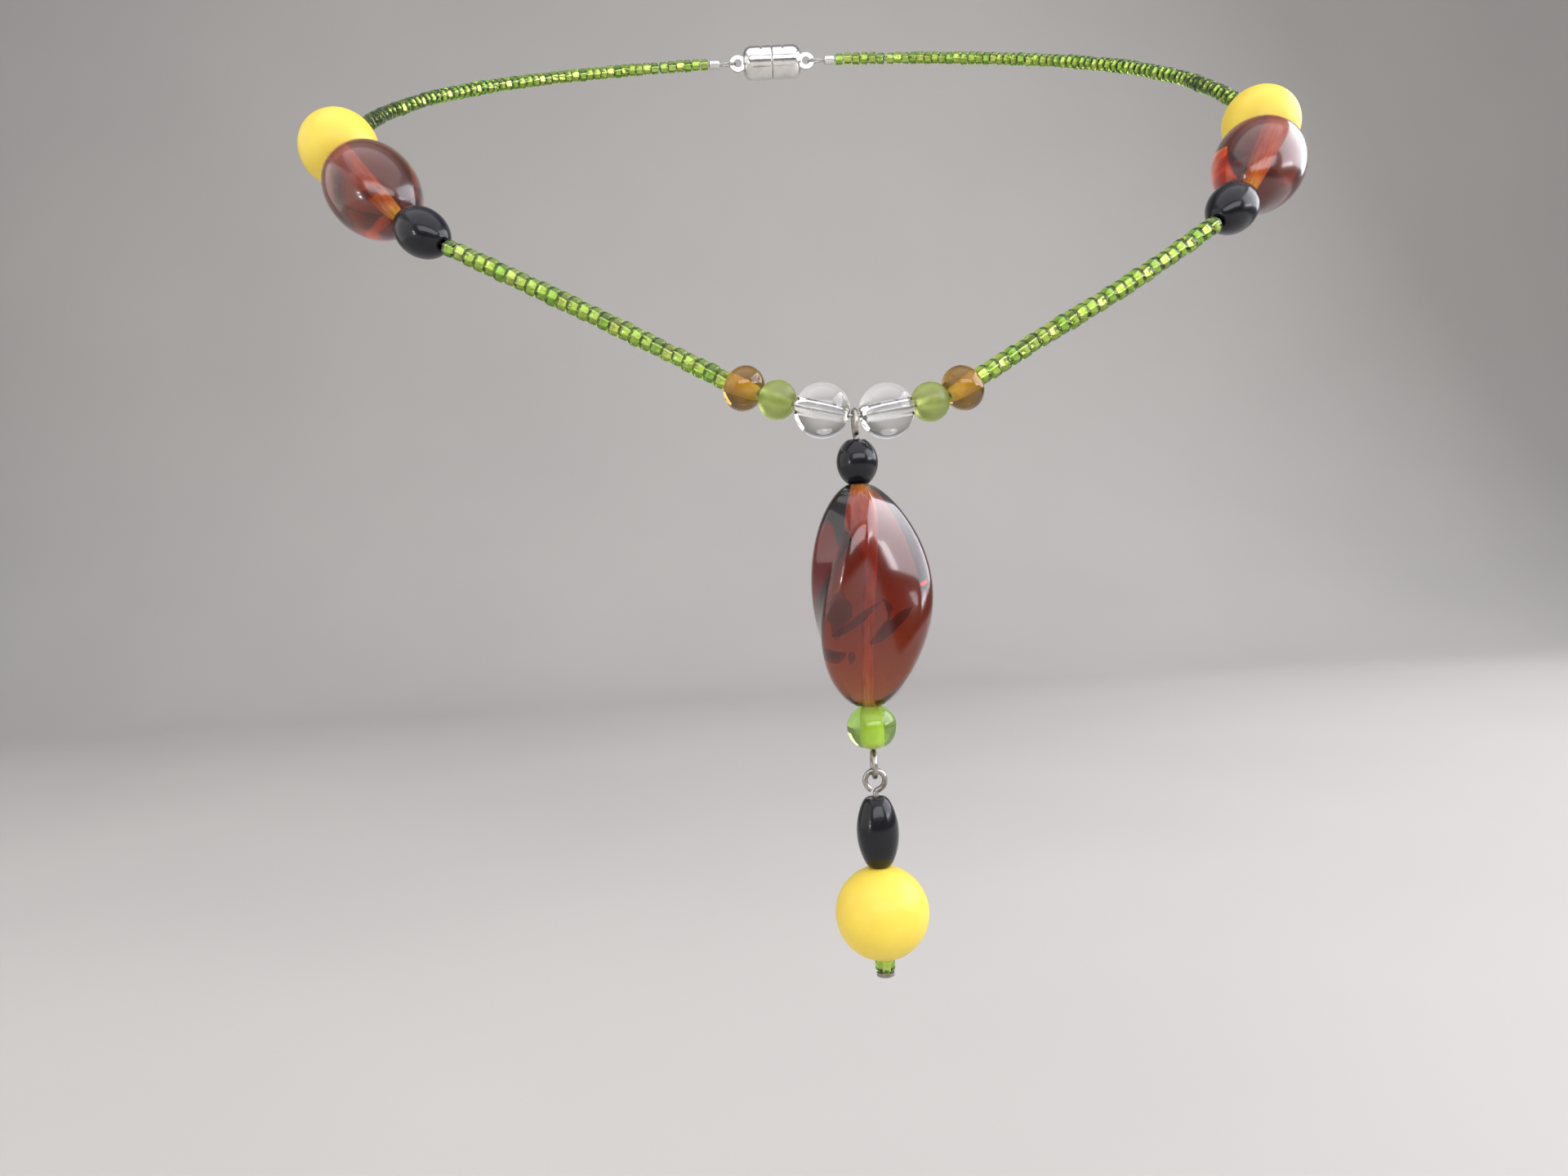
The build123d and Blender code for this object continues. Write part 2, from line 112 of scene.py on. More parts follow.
def axes_at(centre, along):
    """A matrix that stands local Z along a direction at a centre."""
    return Matrix.Translation(centre) @ along.normalized().to_track_quat("Z", "Y").to_matrix().to_4x4()


def circle(radius, height, count, turn=0.0):
    """A level ring of points round Z."""
    angles = [2 * pi * i / count + turn for i in range(count)]
    return [Vector((radius * cos(angle), radius * sin(angle), height)) for angle in angles]


def rounded_box(width, depth, corner, angle):
    """Distance from a rounded rectangle's middle to its outline, in a direction."""
    dx, dy = abs(cos(angle)), abs(sin(angle))
    inner_x, inner_y = width / 2 - corner, depth / 2 - corner
    if dx * depth / 2 >= dy * width / 2:
        distance = width / 2 / dx
    else:
        distance = depth / 2 / dy
    if distance * dx > inner_x and distance * dy > inner_y:
        along = inner_x * dx + inner_y * dy
        distance = along + sqrt(max(corner**2 - (inner_x**2 + inner_y**2 - along**2), 0))
    return distance


def outline(width, depth, corner, turn, height, count):
    """A rounded rectangle as a ring of points, turned about Z."""
    ring = []
    for i in range(count):
        angle = 2 * pi * i / count
        distance = rounded_box(width, depth, corner, angle)
        ring.append(Vector((distance * cos(angle + turn), distance * sin(angle + turn), height)))
    return ring


def moved(rings, matrix):
    """Rings of points carried by a matrix."""
    return [[matrix @ point for point in ring] for ring in rings]


# ---------------------------------------------------------------- materials

# Share of a finish's roughness at its smoothest and at its roughest spot
GLASS_SPREAD = (0.6, 1.4)
SOLID_SPREAD = (0.8, 1.25)
DRILLED_SPREAD = (0.8, 1.2)
# Noise values between which a finish runs from its dark tone to its light one
SOLID_TONES = (0.3, 0.7)
# On the hole's wall the light tone runs in streaks that are painted glints
BORE_GLINT_TONES = (0.38, 0.60)

RESIN_IOR = 1.42
NO_BEND = 1.0  # the refraction of one resin inside another
COAT_ROUGHNESS = 0.05
BUMP_STRENGTH = 0.5
SCATTER_REACH = (0.9 * MM, 0.7 * MM, 0.25 * MM)
DRILLED_SCALE = 2600
# Draws the hole wall's noise out along the hole, into the streaks of painted glint
DRILLED_STRETCH = (1, 1, 0.12)
DRILLED_RIPPLE = 0.02 * MM


def new_material(name):
    """A material with its node tree and its shader."""
    material = bpy.data.materials.new(name)
    material.use_nodes = True
    tree = material.node_tree
    shader = tree.nodes["Principled BSDF"]
    return material, tree, shader


def noise_node(tree, scale, detail=3.0, stretch=None):
    """Noise fixed to the piece, as its value's socket."""
    place = tree.nodes.new("ShaderNodeTexCoord").outputs["Object"]
    node = tree.nodes.new("ShaderNodeTexNoise")
    node.inputs["Scale"].default_value = scale
    node.inputs["Detail"].default_value = detail
    if stretch:
        mapping = tree.nodes.new("ShaderNodeMapping")
        mapping.inputs["Scale"].default_value = stretch
        tree.links.new(place, mapping.inputs["Vector"])
        place = mapping.outputs["Vector"]
    tree.links.new(place, node.inputs["Vector"])
    return node.outputs["Fac"]


def ramp(tree, source, stops):
    """A colour that runs through stops, each a position and a colour, as its socket."""
    node = tree.nodes.new("ShaderNodeValToRGB")
    for element, (position, color) in zip(node.color_ramp.elements, stops):
        element.position = position
        element.color = (*color, 1)
    tree.links.new(source, node.inputs["Fac"])
    return node.outputs["Color"]


def grade(tree, source, low, high):
    """A value from 0 to 1 spread between two others, as its socket."""
    node = tree.nodes.new("ShaderNodeMapRange")
    node.inputs["To Min"].default_value = low
    node.inputs["To Max"].default_value = high
    tree.links.new(source, node.inputs["Value"])
    return node.outputs["Result"]


def add_roughness(tree, shader, source, roughness, spread):
    """Roughness that varies over the surface."""
    low, high = (roughness * share for share in spread)
    tree.links.new(grade(tree, source, low, high), shader.inputs["Roughness"])


def add_bump(tree, shader, source, distance):
    """Ripples of a height in metres."""
    bump = tree.nodes.new("ShaderNodeBump")
    bump.inputs["Strength"].default_value = BUMP_STRENGTH
    bump.inputs["Distance"].default_value = distance
    tree.links.new(source, bump.inputs["Height"])
    tree.links.new(bump.outputs["Normal"], shader.inputs["Normal"])


def glass(
    name, color, roughness, ior=1.5, tint=None, density=0.0, ripple=0.0, scale=900,
    coat=0.0, haze=COAT_ROUGHNESS,
):
    """Glass or clear resin: rough to the degree given, coloured by its depth."""
    material, tree, shader = new_material(name)
    shader.inputs["Base Color"].default_value = (*color, 1)
    shader.inputs["Transmission Weight"].default_value = 1.0
    shader.inputs["IOR"].default_value = ior
    shader.inputs["Coat Weight"].default_value = coat
    shader.inputs["Coat Roughness"].default_value = haze
    texture = noise_node(tree, scale)
    add_roughness(tree, shader, texture, roughness, GLASS_SPREAD)
    if ripple:
        add_bump(tree, shader, texture, ripple)
    if tint:
        volume = tree.nodes.new("ShaderNodeVolumeAbsorption")
        volume.inputs["Color"].default_value = (*tint, 1)
        volume.inputs["Density"].default_value = density
        tree.links.new(volume.outputs["Volume"], tree.nodes["Material Output"].inputs["Volume"])
    return material


def solid(
    name, light, dark, roughness, scale, metallic=0.0, ripple=0.0, coat=0.0, scatter=0.0, gloss=0.5
):
    """An opaque finish whose colour, roughness and surface vary a little."""
    material, tree, shader = new_material(name)
    texture = noise_node(tree, scale)
    tone = ramp(tree, texture, zip(SOLID_TONES, (dark, light)))
    tree.links.new(tone, shader.inputs["Base Color"])
    add_roughness(tree, shader, texture, roughness, SOLID_SPREAD)
    shader.inputs["Metallic"].default_value = metallic
    shader.inputs["Specular IOR Level"].default_value = gloss
    shader.inputs["Coat Weight"].default_value = coat
    shader.inputs["Coat Roughness"].default_value = COAT_ROUGHNESS
    if scatter:
        shader.inputs["Subsurface Weight"].default_value = scatter
        shader.inputs["Subsurface Radius"].default_value = SCATTER_REACH
        shader.inputs["Subsurface Scale"].default_value = 1.0
    if ripple:
        add_bump(tree, shader, texture, ripple)
    return material


def bore_wall_with_glints(name, light, dark, roughness):
    """The wall of a bored hole: pale frosted resin, with fine lighter streaks along the hole that are painted
    glints.
    """
    material, tree, shader = new_material(name)
    texture = noise_node(tree, DRILLED_SCALE, detail=2.0, stretch=DRILLED_STRETCH)
    tone = ramp(tree, texture, zip(BORE_GLINT_TONES, (dark, light)))
    tree.links.new(tone, shader.inputs["Base Color"])
    add_roughness(tree, shader, texture, roughness, DRILLED_SPREAD)
    add_bump(tree, shader, texture, DRILLED_RIPPLE)
    return material


def resin(
    name, color, roughness, tint, density, coat=0.0, haze=COAT_ROUGHNESS, scale=350, ripple=0.01 * MM
):
    """Tortoise resin, which may have a hazy skin."""
    return glass(name, color, roughness, RESIN_IOR, tint, density, ripple, scale, coat, haze)


def dark_resin(name, color, tint, density):
    """Darker resin inside the clear one, with no surface of its own to reflect."""
    return glass(name, color, 0.02, NO_BEND, tint, density)


def seed_glass(name, roughness, tint, density):
    """The green glass of one kind of seed bead."""
    return glass(name, (1, 1, 0.96), roughness, tint=tint, density=density, ripple=0.006 * MM)


yellow = solid(
    "yellow_satin", (0.89, 0.68, 0.085), (0.83, 0.61, 0.065), 0.40, 260, ripple=0.02 * MM, scatter=0.15
)
black = solid(
    "black_gloss", (0.008, 0.008, 0.012), (0.003, 0.003, 0.005), 0.22, 700,
    ripple=0.01 * MM, coat=0.3, gloss=0.25,
)
clear = glass("clear_glass", (0.99, 0.985, 0.98), 0.012, ripple=0.004 * MM)
clear_bore = glass("clear_bore", (0.98, 0.975, 0.97), 0.10, scale=3000, ripple=0.02 * MM)
frosted = glass(
    "frosted_green", (0.84, 0.90, 0.46), 0.40, tint=(0.66, 0.78, 0.10), density=230,
    ripple=0.02 * MM, scale=2500,
)
frosted_bore = glass("frosted_bore", (0.80, 0.88, 0.45), 0.5, scale=3000)
amber = glass("amber_glass", (1, 0.97, 0.92), 0.015, tint=(0.76, 0.60, 0.10), density=780, ripple=0.004 * MM)
amber_core = solid("amber_lining", (1.0, 0.86, 0.32), (0.94, 0.74, 0.20), 0.35, 900)
lime = glass("green_glass", (0.99, 1, 0.95), 0.015, tint=(0.62, 0.86, 0.07), density=420, ripple=0.004 * MM)
lime_core = solid("green_lining", (0.80, 0.84, 0.25), (0.66, 0.72, 0.14), 0.35, 900)
tortoise = resin("tortoise_resin", (1, 0.98, 0.96), 0.05, (0.84, 0.52, 0.03), 880, coat=0.8, haze=0.18)
tortoise_satin = resin("tortoise_satin", (1, 0.98, 0.96), 0.10, (0.86, 0.60, 0.03), 640, coat=0.9, haze=0.26)
tortoise_bore = resin(
    "tortoise_bore", (1, 0.96, 0.9), 0.16, (0.84, 0.52, 0.03), 880, scale=3000, ripple=0.02 * MM
)
# The hole's wall: pale frosted resin, its lighter streaks along the hole painted glints
frosted_bore_wall_and_glints = bore_wall_with_glints("frosted_bore_and_painted_glints", (1.0, 0.84, 0.40), (0.80, 0.46, 0.14), 0.45)
swirl = dark_resin("dark_swirl", (0.80, 0.62, 0.50), (0.45, 0.20, 0.10), 3600)
cloud = dark_resin("brown_cloud", (1, 0.95, 0.9), (0.50, 0.22, 0.10), 900)
seed_glasses = [
    seed_glass("seed_glass_mid", 0.02, (0.70, 0.85, 0.03), 1500),
    seed_glass("seed_glass_pale", 0.03, (0.75, 0.87, 0.04), 1300),
    seed_glass("seed_glass_deep", 0.02, (0.62, 0.82, 0.04), 1700),
]
seed_lining = solid(
    "seed_lining", (0.95, 0.96, 0.90), (0.80, 0.82, 0.72), 0.22, 2500, metallic=1.0, ripple=0.03 * MM
)
pin_metal = solid(
    "pin_metal", (0.56, 0.53, 0.48), (0.24, 0.21, 0.18), 0.30, 900, metallic=1.0, ripple=0.02 * MM
)
cable = solid("cable", (0.62, 0.62, 0.60), (0.40, 0.40, 0.39), 0.35, 1500, metallic=1.0)
plate = solid(
    "silver_plate", (0.86, 0.85, 0.82), (0.70, 0.69, 0.66), 0.16, 600, metallic=1.0, ripple=0.008 * MM
)
nickel = solid("magnet_nickel", (0.62, 0.62, 0.64), (0.46, 0.46, 0.48), 0.22, 900, metallic=1.0)
stage_paper = solid("stage_paper", (0.53, 0.51, 0.475), (0.50, 0.48, 0.45), 0.8, 6)

# ---------------------------------------------------------------- beads

BEAD_SIDES = 72
PROFILE_STEPS = 40
BORE_STEPS = 6
EDGE_ROUND = 0.10 * MM
FLAT_LEAST = 1.02  # a flat end this much wider than its mouth gets a ring of its own
END_DEPTH = 0.002 * MM  # how near the end a point has to be to count as on it
BORE_SKIN = 0.015 * MM  # a lining's thickness each side of the hole's wall
LINING_SHARES = (-0.97, -0.4, 0.4, 0.97)  # of a bead's half length, up the outside of its lining

# Radius of the rounded nose of each oval bead, the same as its solid's
BLACK_NOSE = 2.1 * MM
TORTOISE_NOSE = 4.2 * MM
BARREL_NOSE = 1.9 * MM
TUBE_NOSE = 1.7 * MM

AMBER_LINING = 0.68 * MM
GREEN_LINING = 0.85 * MM


def bead_profile(half, widest, flat, nose):
    """The outer side from the lower flat to the upper, as radius and height: one arc, or three."""
    points = []
    if not nose:
        swell = widest - flat
        radius = (swell**2 + half**2) / (2 * swell)
        reach = atan2(half, radius - swell)
        for i in range(PROFILE_STEPS + 1):
            angle = reach * (2 * i / PROFILE_STEPS - 1)
            points.append((widest - radius + radius * cos(angle), radius * sin(angle)))
        return points
    nose_height = half - sqrt(nose**2 - flat**2)
    swell = widest - nose
    offset = (nose_height**2 - swell**2) / (2 * swell)
    meeting = atan2(nose_height, offset)
    tip = acos(flat / nose)
    for i in range(PROFILE_STEPS + 1):
        angle = tip * (2 * i / PROFILE_STEPS - 1)
        if abs(angle) <= meeting:
            reach = widest + offset
            points.append((reach * cos(angle) - offset, reach * sin(angle)))
        else:
            lift = nose_height if angle > 0 else -nose_height
            points.append((nose * cos(angle), lift + nose * sin(angle)))
    return points


def bead_rings(half, widest, flat, bore, nose):
    """Rings of a bead with a round hole, and the slot of each band: 0 outside, 1 in the hole."""
    count = BEAD_SIDES
    side = bead_profile(half, widest, flat, nose)
    inside = [(half - EDGE_ROUND) * (1 - 2 * i / BORE_STEPS) for i in range(BORE_STEPS + 1)]
    rings = [circle(r, z, count) for r, z in side]
    slots = [0] * len(side)
    mouth = bore + EDGE_ROUND
    if flat > mouth * FLAT_LEAST:
        rings.append(circle((flat + mouth) / 2, half, count))
        slots.append(0)
    rings.append(circle(mouth, half, count))
    slots.append(0)
    rings += [circle(bore, z, count) for z in inside]
    slots += [1] * len(inside)
    rings.append(circle(mouth, -half, count))
    slots.append(0)
    if flat > mouth * FLAT_LEAST:
        rings.append(circle((flat + mouth) / 2, -half, count))
        slots.append(0)
    return rings, slots


def measure(node, centre, along):
    """Half length, widest, flat and bore radius of a turned CAD bead."""
    points = np.array([tuple(v.co) for v in nodes[node].data.vertices]) - np.array(centre)
    axis = np.array(along)
    height = points @ axis
    radius = np.linalg.norm(points - np.outer(height, axis), axis=1)
    half = np.abs(height).max()
    at_end = radius[np.abs(height) > half - END_DEPTH]
    return half, radius.max(), at_end.max(), radius.min()


def bead_place(node):
    """Centre and direction of a bead, from its own spin joint."""
    joint = joints[f"{node}_spin"]
    along = Vector(joint["axis"]).normalized()
    centre = Vector(joint["pos_m"])
    low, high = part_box(node)
    middle = (low + high) / 2
    return centre + along * (middle - centre).dot(along), along


def lining_rings(half, thick, thin, shares):
    """Rings of a tube: up its outside at shares of the half length, and back down its inside."""
    outside = [circle(thick, half * share, BEAD_SIDES) for share in shares]
    inside = [circle(thin, half * share, BEAD_SIDES) for share in (shares[-1], shares[0])]
    return outside + inside


def dress_bead(node, outside, hole, nose=0.0, lining=None, lining_radius=None):
    """A fine mesh in place of a CAD bead, with its lining if it has one."""
    centre, along = bead_place(node)
    half, widest, flat, bore = measure(node, centre, along)
    matrix = axes_at(centre, along)
    rings, slots = bead_rings(half, widest, flat, bore, nose)
    piece = ring_mesh(f"{node}_glass", [(moved(rings, matrix), slots)], [outside, hole])
    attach(piece, node_body[node])
    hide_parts(node)
    if lining:
        tube = lining_rings(half, lining_radius or bore + BORE_SKIN, bore - BORE_SKIN, LINING_SHARES)
        core = ring_mesh(f"{node}_lining", [(tube, [0] * len(tube))], [lining])
        core.matrix_world = matrix
        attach(core, node_body[node])


for side in SIDES:
    dress_bead(f"clear_bead_{side}", clear, clear_bore)
    dress_bead(f"frosted_bead_{side}", frosted, frosted_bore)
    dress_bead(f"amber_bead_{side}", amber, amber, 0.0, amber_core, AMBER_LINING)
    dress_bead(f"black_oval_bead_{side}", black, black, BLACK_NOSE)
    # The tortoise beads' hole lining is the frosted wall whose lighter streaks are painted glints
    dress_bead(f"tortoise_bead_{side}", tortoise_satin, tortoise_bore, TORTOISE_NOSE, frosted_bore_wall_and_glints)
    dress_bead(f"yellow_bead_{side}", yellow, yellow)
dress_bead("drop_barrel_bead", black, black, BARREL_NOSE)
dress_bead("drop_green_bead", lime, lime, 0.0, lime_core, GREEN_LINING)
dress_bead("drop_black_bead", black, black, TUBE_NOSE)
dress_bead("drop_yellow_bead", yellow, yellow)

# ---------------------------------------------------------------- dark swirls in the resin

STREAK_STATIONS = 22
STREAK_SIDES = 16
STREAK_TIP = 0.02  # how thin the ends are against the middle
STREAK_FULLNESS = 0.7  # below 1, the streak keeps its width for longer
RAGGED = 0.45
RAGGED_SCALE = 1.1

# Clouds in the oval beads, in mm or as shares of the bead's half length and radius
CLOUD_SEEDS = {"left": 11, "right": 5}
CLOUD_COUNT = 5
CLOUD_HEIGHT = 0.55
CLOUD_REACH = (0.45, 0.68)
CLOUD_SWEEP = (0.5, 1.1)  # radians each way round the hole
CLOUD_RISE = 0.25
CLOUD_BOW = 1.2
CLOUD_WIDTH = (1.6, 3.2)
CLOUD_THICKNESS = (0.8, 1.6)


def streak(start, bend, end, width, thickness, matrix):
    """Rings of a flat, ragged streak along a bent line, in a bead's own millimetres."""
    start, bend, end = Vector(start), Vector(bend), Vector(end)
    rings = []
    for station in range(STREAK_STATIONS + 1):
        t = station / STREAK_STATIONS
        place = start * (1 - t) ** 2 + bend * 2 * t * (1 - t) + end * t**2
        run = ((bend - start) * (1 - t) + (end - bend) * t).normalized()
        across = run.cross(Vector((0, 1, 0))).normalized()
        through = run.cross(across)
        swell = max(sin(pi * t), STREAK_TIP) ** STREAK_FULLNESS
        ring = []
        for i in range(STREAK_SIDES):
            angle = 2 * pi * i / STREAK_SIDES
            offset = across * (width / 2 * cos(angle)) + through * (thickness / 2 * sin(angle))
            rough = 1 + RAGGED * noise.noise((place + offset) * RAGGED_SCALE + bend)
            ring.append(matrix @ ((place + offset * swell * rough) * MM))
        rings.append(ring)
    return rings, [0] * len(rings)


def add_streaks(name, streaks, matrix, body, material):
    """Streaks as one piece, riding with their bead."""
    piece = ring_mesh(name, [streak(*one, matrix) for one in streaks], [material], capped=True)
    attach(piece, body)


def around(radius, angle, height):
    """A point at a radius, an angle and a height about Z."""
    return Vector((radius * cos(angle), radius * sin(angle), height))


def cloud_streaks(seed, half, widest):
    """Streaks curled round a bead's hole, in the bead's own millimetres, with its length along Z."""
    chance = Random(seed)
    found = []
    for _ in range(CLOUD_COUNT):
        height = chance.uniform(-CLOUD_HEIGHT, CLOUD_HEIGHT) * half
        reach = widest * sqrt(1 - (height / half) ** 2) * chance.uniform(*CLOUD_REACH)
        angle = chance.uniform(0, 2 * pi)
        sweep = chance.uniform(*CLOUD_SWEEP)
        rise = chance.uniform(-CLOUD_RISE, CLOUD_RISE) * half
        start, end = (around(reach, angle + sweep * way, height + rise * way) for way in (-1, 1))
        bend = around(reach * CLOUD_BOW, angle, height)
        found.append((start, bend, end, chance.uniform(*CLOUD_WIDTH), chance.uniform(*CLOUD_THICKNESS)))
    return found


for side, seed in CLOUD_SEEDS.items():
    bead = f"tortoise_bead_{side}"
    centre, along = bead_place(bead)
    half, widest, _, _ = measure(bead, centre, along)
    streaks = cloud_streaks(seed, half / MM, widest / MM)
    add_streaks(f"{bead}_swirls", streaks, axes_at(centre, along), bead, cloud)

# ---------------------------------------------------------------- the twisted bead

TWIST_WIDTH = 12.0 * MM
TWIST_DEPTH = 8.8 * MM
TWIST_CORNER = 2.6 * MM
TWIST_TURN = radians(90)
TWIST_START = radians(15)
TWIST_END_SHARE = 0.24
TWIST_BULGE = 0.8 * MM
TWIST_HOLE = 0.65 * MM  # radius
TWIST_STATIONS = 90
TWIST_SIDES = 144
TWIST_BORE_STEPS = 12
TWIST_LINING_SHARES = (-0.985, -0.4, 0.4, 0.985)


def twisted_section(along):
    """Size share, turn and lean of the bead's section, from -1 at the foot to 1 at the top."""
    share = sqrt(1 - (1 - TWIST_END_SHARE**2) * along**2)
    return share, TWIST_START + TWIST_TURN / 2 * along, TWIST_BULGE * cos(along * pi / 2)


def twisted_rings(half):
    """Rings of the twisted bead about the middle of its hole, and the slot of each band."""
    rings = []
    for station in range(TWIST_STATIONS + 1):
        along = -cos(pi * station / TWIST_STATIONS)
        share, turn, lean = twisted_section(along)
        size = [length * share for length in (TWIST_WIDTH, TWIST_DEPTH, TWIST_CORNER)]
        ring = outline(*size, turn, along * half, TWIST_SIDES)
        rings.append([point + Vector((lean, 0, 0)) for point in ring])
    slots = [0] * len(rings)
    mouth = TWIST_HOLE + EDGE_ROUND
    top_turn = TWIST_START + TWIST_TURN / 2
    rings.append(circle(mouth, half, TWIST_SIDES, top_turn))
    for i in range(TWIST_BORE_STEPS + 1):
        down = i / TWIST_BORE_STEPS
        height = (half - EDGE_ROUND) * (1 - 2 * down)
        rings.append(circle(TWIST_HOLE, height, TWIST_SIDES, top_turn * (1 - down)))
    rings.append(circle(mouth, -half, TWIST_SIDES, TWIST_START - TWIST_TURN / 2))
    slots += [1] * (TWIST_BORE_STEPS + 2) + [0]
    return rings, slots


def make_twisted_bead():
    """The bead and the wall of its hole. Returns the middle of the hole."""
    low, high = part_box("twisted_bead")
    pin = Vector(joints["twisted_bead_spin"]["pos_m"])
    half = (high.z - low.z) / 2
    middle = Vector((pin.x, pin.y, (high.z + low.z) / 2))
    matrix = Matrix.Translation(middle)
    rings, slots = twisted_rings(half)
    bead = ring_mesh("twisted_bead_resin", [(moved(rings, matrix), slots)], [tortoise, tortoise_bore])
    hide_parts("twisted_bead")
    tube = lining_rings(half, TWIST_HOLE + BORE_SKIN, TWIST_HOLE - BORE_SKIN, TWIST_LINING_SHARES)
    # The hole's wall is frosted resin whose lighter streaks are painted glints
    wall = ring_mesh("twisted_bead_bore", [(moved(tube, matrix), [0] * len(tube))], [frosted_bore_wall_and_glints])
    for piece in (bead, wall):
        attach(piece, node_body["twisted_bead"])
    return middle


twist_middle = make_twisted_bead()

# The dark streaks in the twisted bead, each from start by bend to end, with width and thickness, in mm
TWIST_STREAKS = [
    ((-3.4, -1.2, -3.9), (-1.4, -1.9, -2.4), (1.3, -1.7, -0.5), 0.9, 0.35),
    ((-2.1, -0.8, 0.8), (-2.6, -1.0, -1.5), (-3.1, -0.8, -4.2), 1.3, 0.4),
    ((0.1, -1.4, -5.0), (2.0, -1.5, -3.5), (4.6, -0.8, -1.6), 1.4, 0.5),
    ((1.2, -1.2, -0.3), (2.6, -1.2, -0.9), (1.9, -1.4, -2.8), 0.5, 0.3),
    ((-4.3, -0.4, -5.6), (-3.6, -0.5, -6.1), (-2.3, -0.7, -5.6), 1.6, 0.5),
    ((-1.9, -0.8, -5.4), (-1.6, -0.8, -6.1), (-1.9, -0.8, -6.9), 0.8, 0.3),
]
add_streaks(
    "twisted_bead_swirls", TWIST_STREAKS, Matrix.Translation(twist_middle), node_body["twisted_bead"], swirl
)

# ---------------------------------------------------------------- seed beads

SEED_SIDES = 40
SEED_EDGE_STEPS = 6
SEED_ROUNDING = 0.42 * MM
SEED_ROUNDING_MOST = 0.62  # of a bead's half length
SEED_FLARE = 0.04 * MM  # that the hole opens by at its ends
SEED_BORE_SHARES = (1, 0.97, 0, -0.97, -1)
LINING_DEPTH = 0.012 * MM
LINING_WALL = 0.03 * MM
SEED_LINING_SHARES = (-0.96, -0.3, 0.3, 0.96)
HOLE_CORNER = 0.15  # corner radius as a share of the hole's width
SEED_WELD = 1e-7  # metres
END_FACE = cos(radians(15))

# How one seed bead differs from the next: steps of phase in radians, and a share of its width
SEED_PHASE = 2.4
SEED_TURN = 1.7
SEED_SIZE = 0.02
SEED_SIZE_WAVE = 5.1
# The glass of each bead goes by its number times a step, counted round in fives
SEED_KIND_STEP = 7
SEED_KINDS = (0, 1, 0, 2, 0)


def islands(mesh):
    """Vertex groups of a mesh's separate solids, in order."""
    parent = list(range(len(mesh.vertices)))

    def root(i):
        while parent[i] != i:
            parent[i] = parent[parent[i]]
            i = parent[i]
        return i

    for edge in mesh.edges:
        a, b = root(edge.vertices[0]), root(edge.vertices[1])
        if a != b:
            parent[max(a, b)] = min(a, b)
    groups = {}
    for i in range(len(mesh.vertices)):
        groups.setdefault(root(i), []).append(i)
    return groups


def seed_places(node):
    """Centre, direction, half length, outer radius and hole width of each seed bead in a CAD node."""
    work = bmesh.new()
    work.from_mesh(nodes[node].data)
    bmesh.ops.remove_doubles(work, verts=work.verts, dist=SEED_WELD)
    joined = bpy.data.meshes.new("joined")
    work.to_mesh(joined)
    work.free()
    points = np.array([tuple(v.co) for v in joined.vertices])
    groups = islands(joined)
    owner = {i: key for key, members in groups.items() for i in members}
    faces = {key: [] for key in groups}
    for face in joined.polygons:
        faces[owner[face.vertices[0]]].append((np.array(face.normal), face.area))
    centres = {key: (points[members].max(0) + points[members].min(0)) / 2 for key, members in groups.items()}
    found = []
    for key, members in groups.items():
        centre = centres[key]
        others = [c - centre for other, c in centres.items() if other != key]
        guess = min(others, key=np.linalg.norm) if others else np.array((0, 0, 1.0))
        guess = guess / np.linalg.norm(guess)
        ends = [normal * area * np.sign(normal @ guess) for normal, area in faces[key]
                if abs(normal @ guess) > END_FACE]
        axis = np.sum(ends, axis=0)
        axis = axis / np.linalg.norm(axis)
        height = (points[members] - centre) @ axis
        radius = np.linalg.norm(points[members] - centre - np.outer(height, axis), axis=1)
        found.append((Vector(centre), Vector(axis), height.max(), radius.max(), radius.min() * sqrt(2)))
    bpy.data.meshes.remove(joined)
    return found


def seed_rings(half, outer, hole, turn):
    """Rings of a seed bead: a rounded tube with a square hole."""
    edge = min(SEED_ROUNDING, half * SEED_ROUNDING_MOST)
    rings = []
    for i in range(SEED_EDGE_STEPS + 1):
        angle = pi / 2 * i / SEED_EDGE_STEPS
        rings.append(circle(outer - edge + edge * sin(angle), -half + edge - edge * cos(angle), SEED_SIDES))
    for i in range(SEED_EDGE_STEPS + 1):
        angle = pi / 2 * i / SEED_EDGE_STEPS
        rings.append(circle(outer - edge + edge * cos(angle), half - edge + edge * sin(angle), SEED_SIDES))
    for share in SEED_BORE_SHARES:
        width = hole + SEED_FLARE if abs(share) == 1 else hole
        rings.append(outline(width, width, hole * HOLE_CORNER, turn, half * share, SEED_SIDES))
    return rings


def square_tube(half, thick, thin, turn):
    """Rings of a seed bead's lining: up its outside and back down its inside."""
    top, foot = SEED_LINING_SHARES[-1], SEED_LINING_SHARES[0]
    sizes = [(thick, share) for share in SEED_LINING_SHARES] + [(thin, top), (thin, foot)]
    return [
        outline(width, width, width * HOLE_CORNER, turn, half * share, SEED_SIDES) for width, share in sizes
    ]


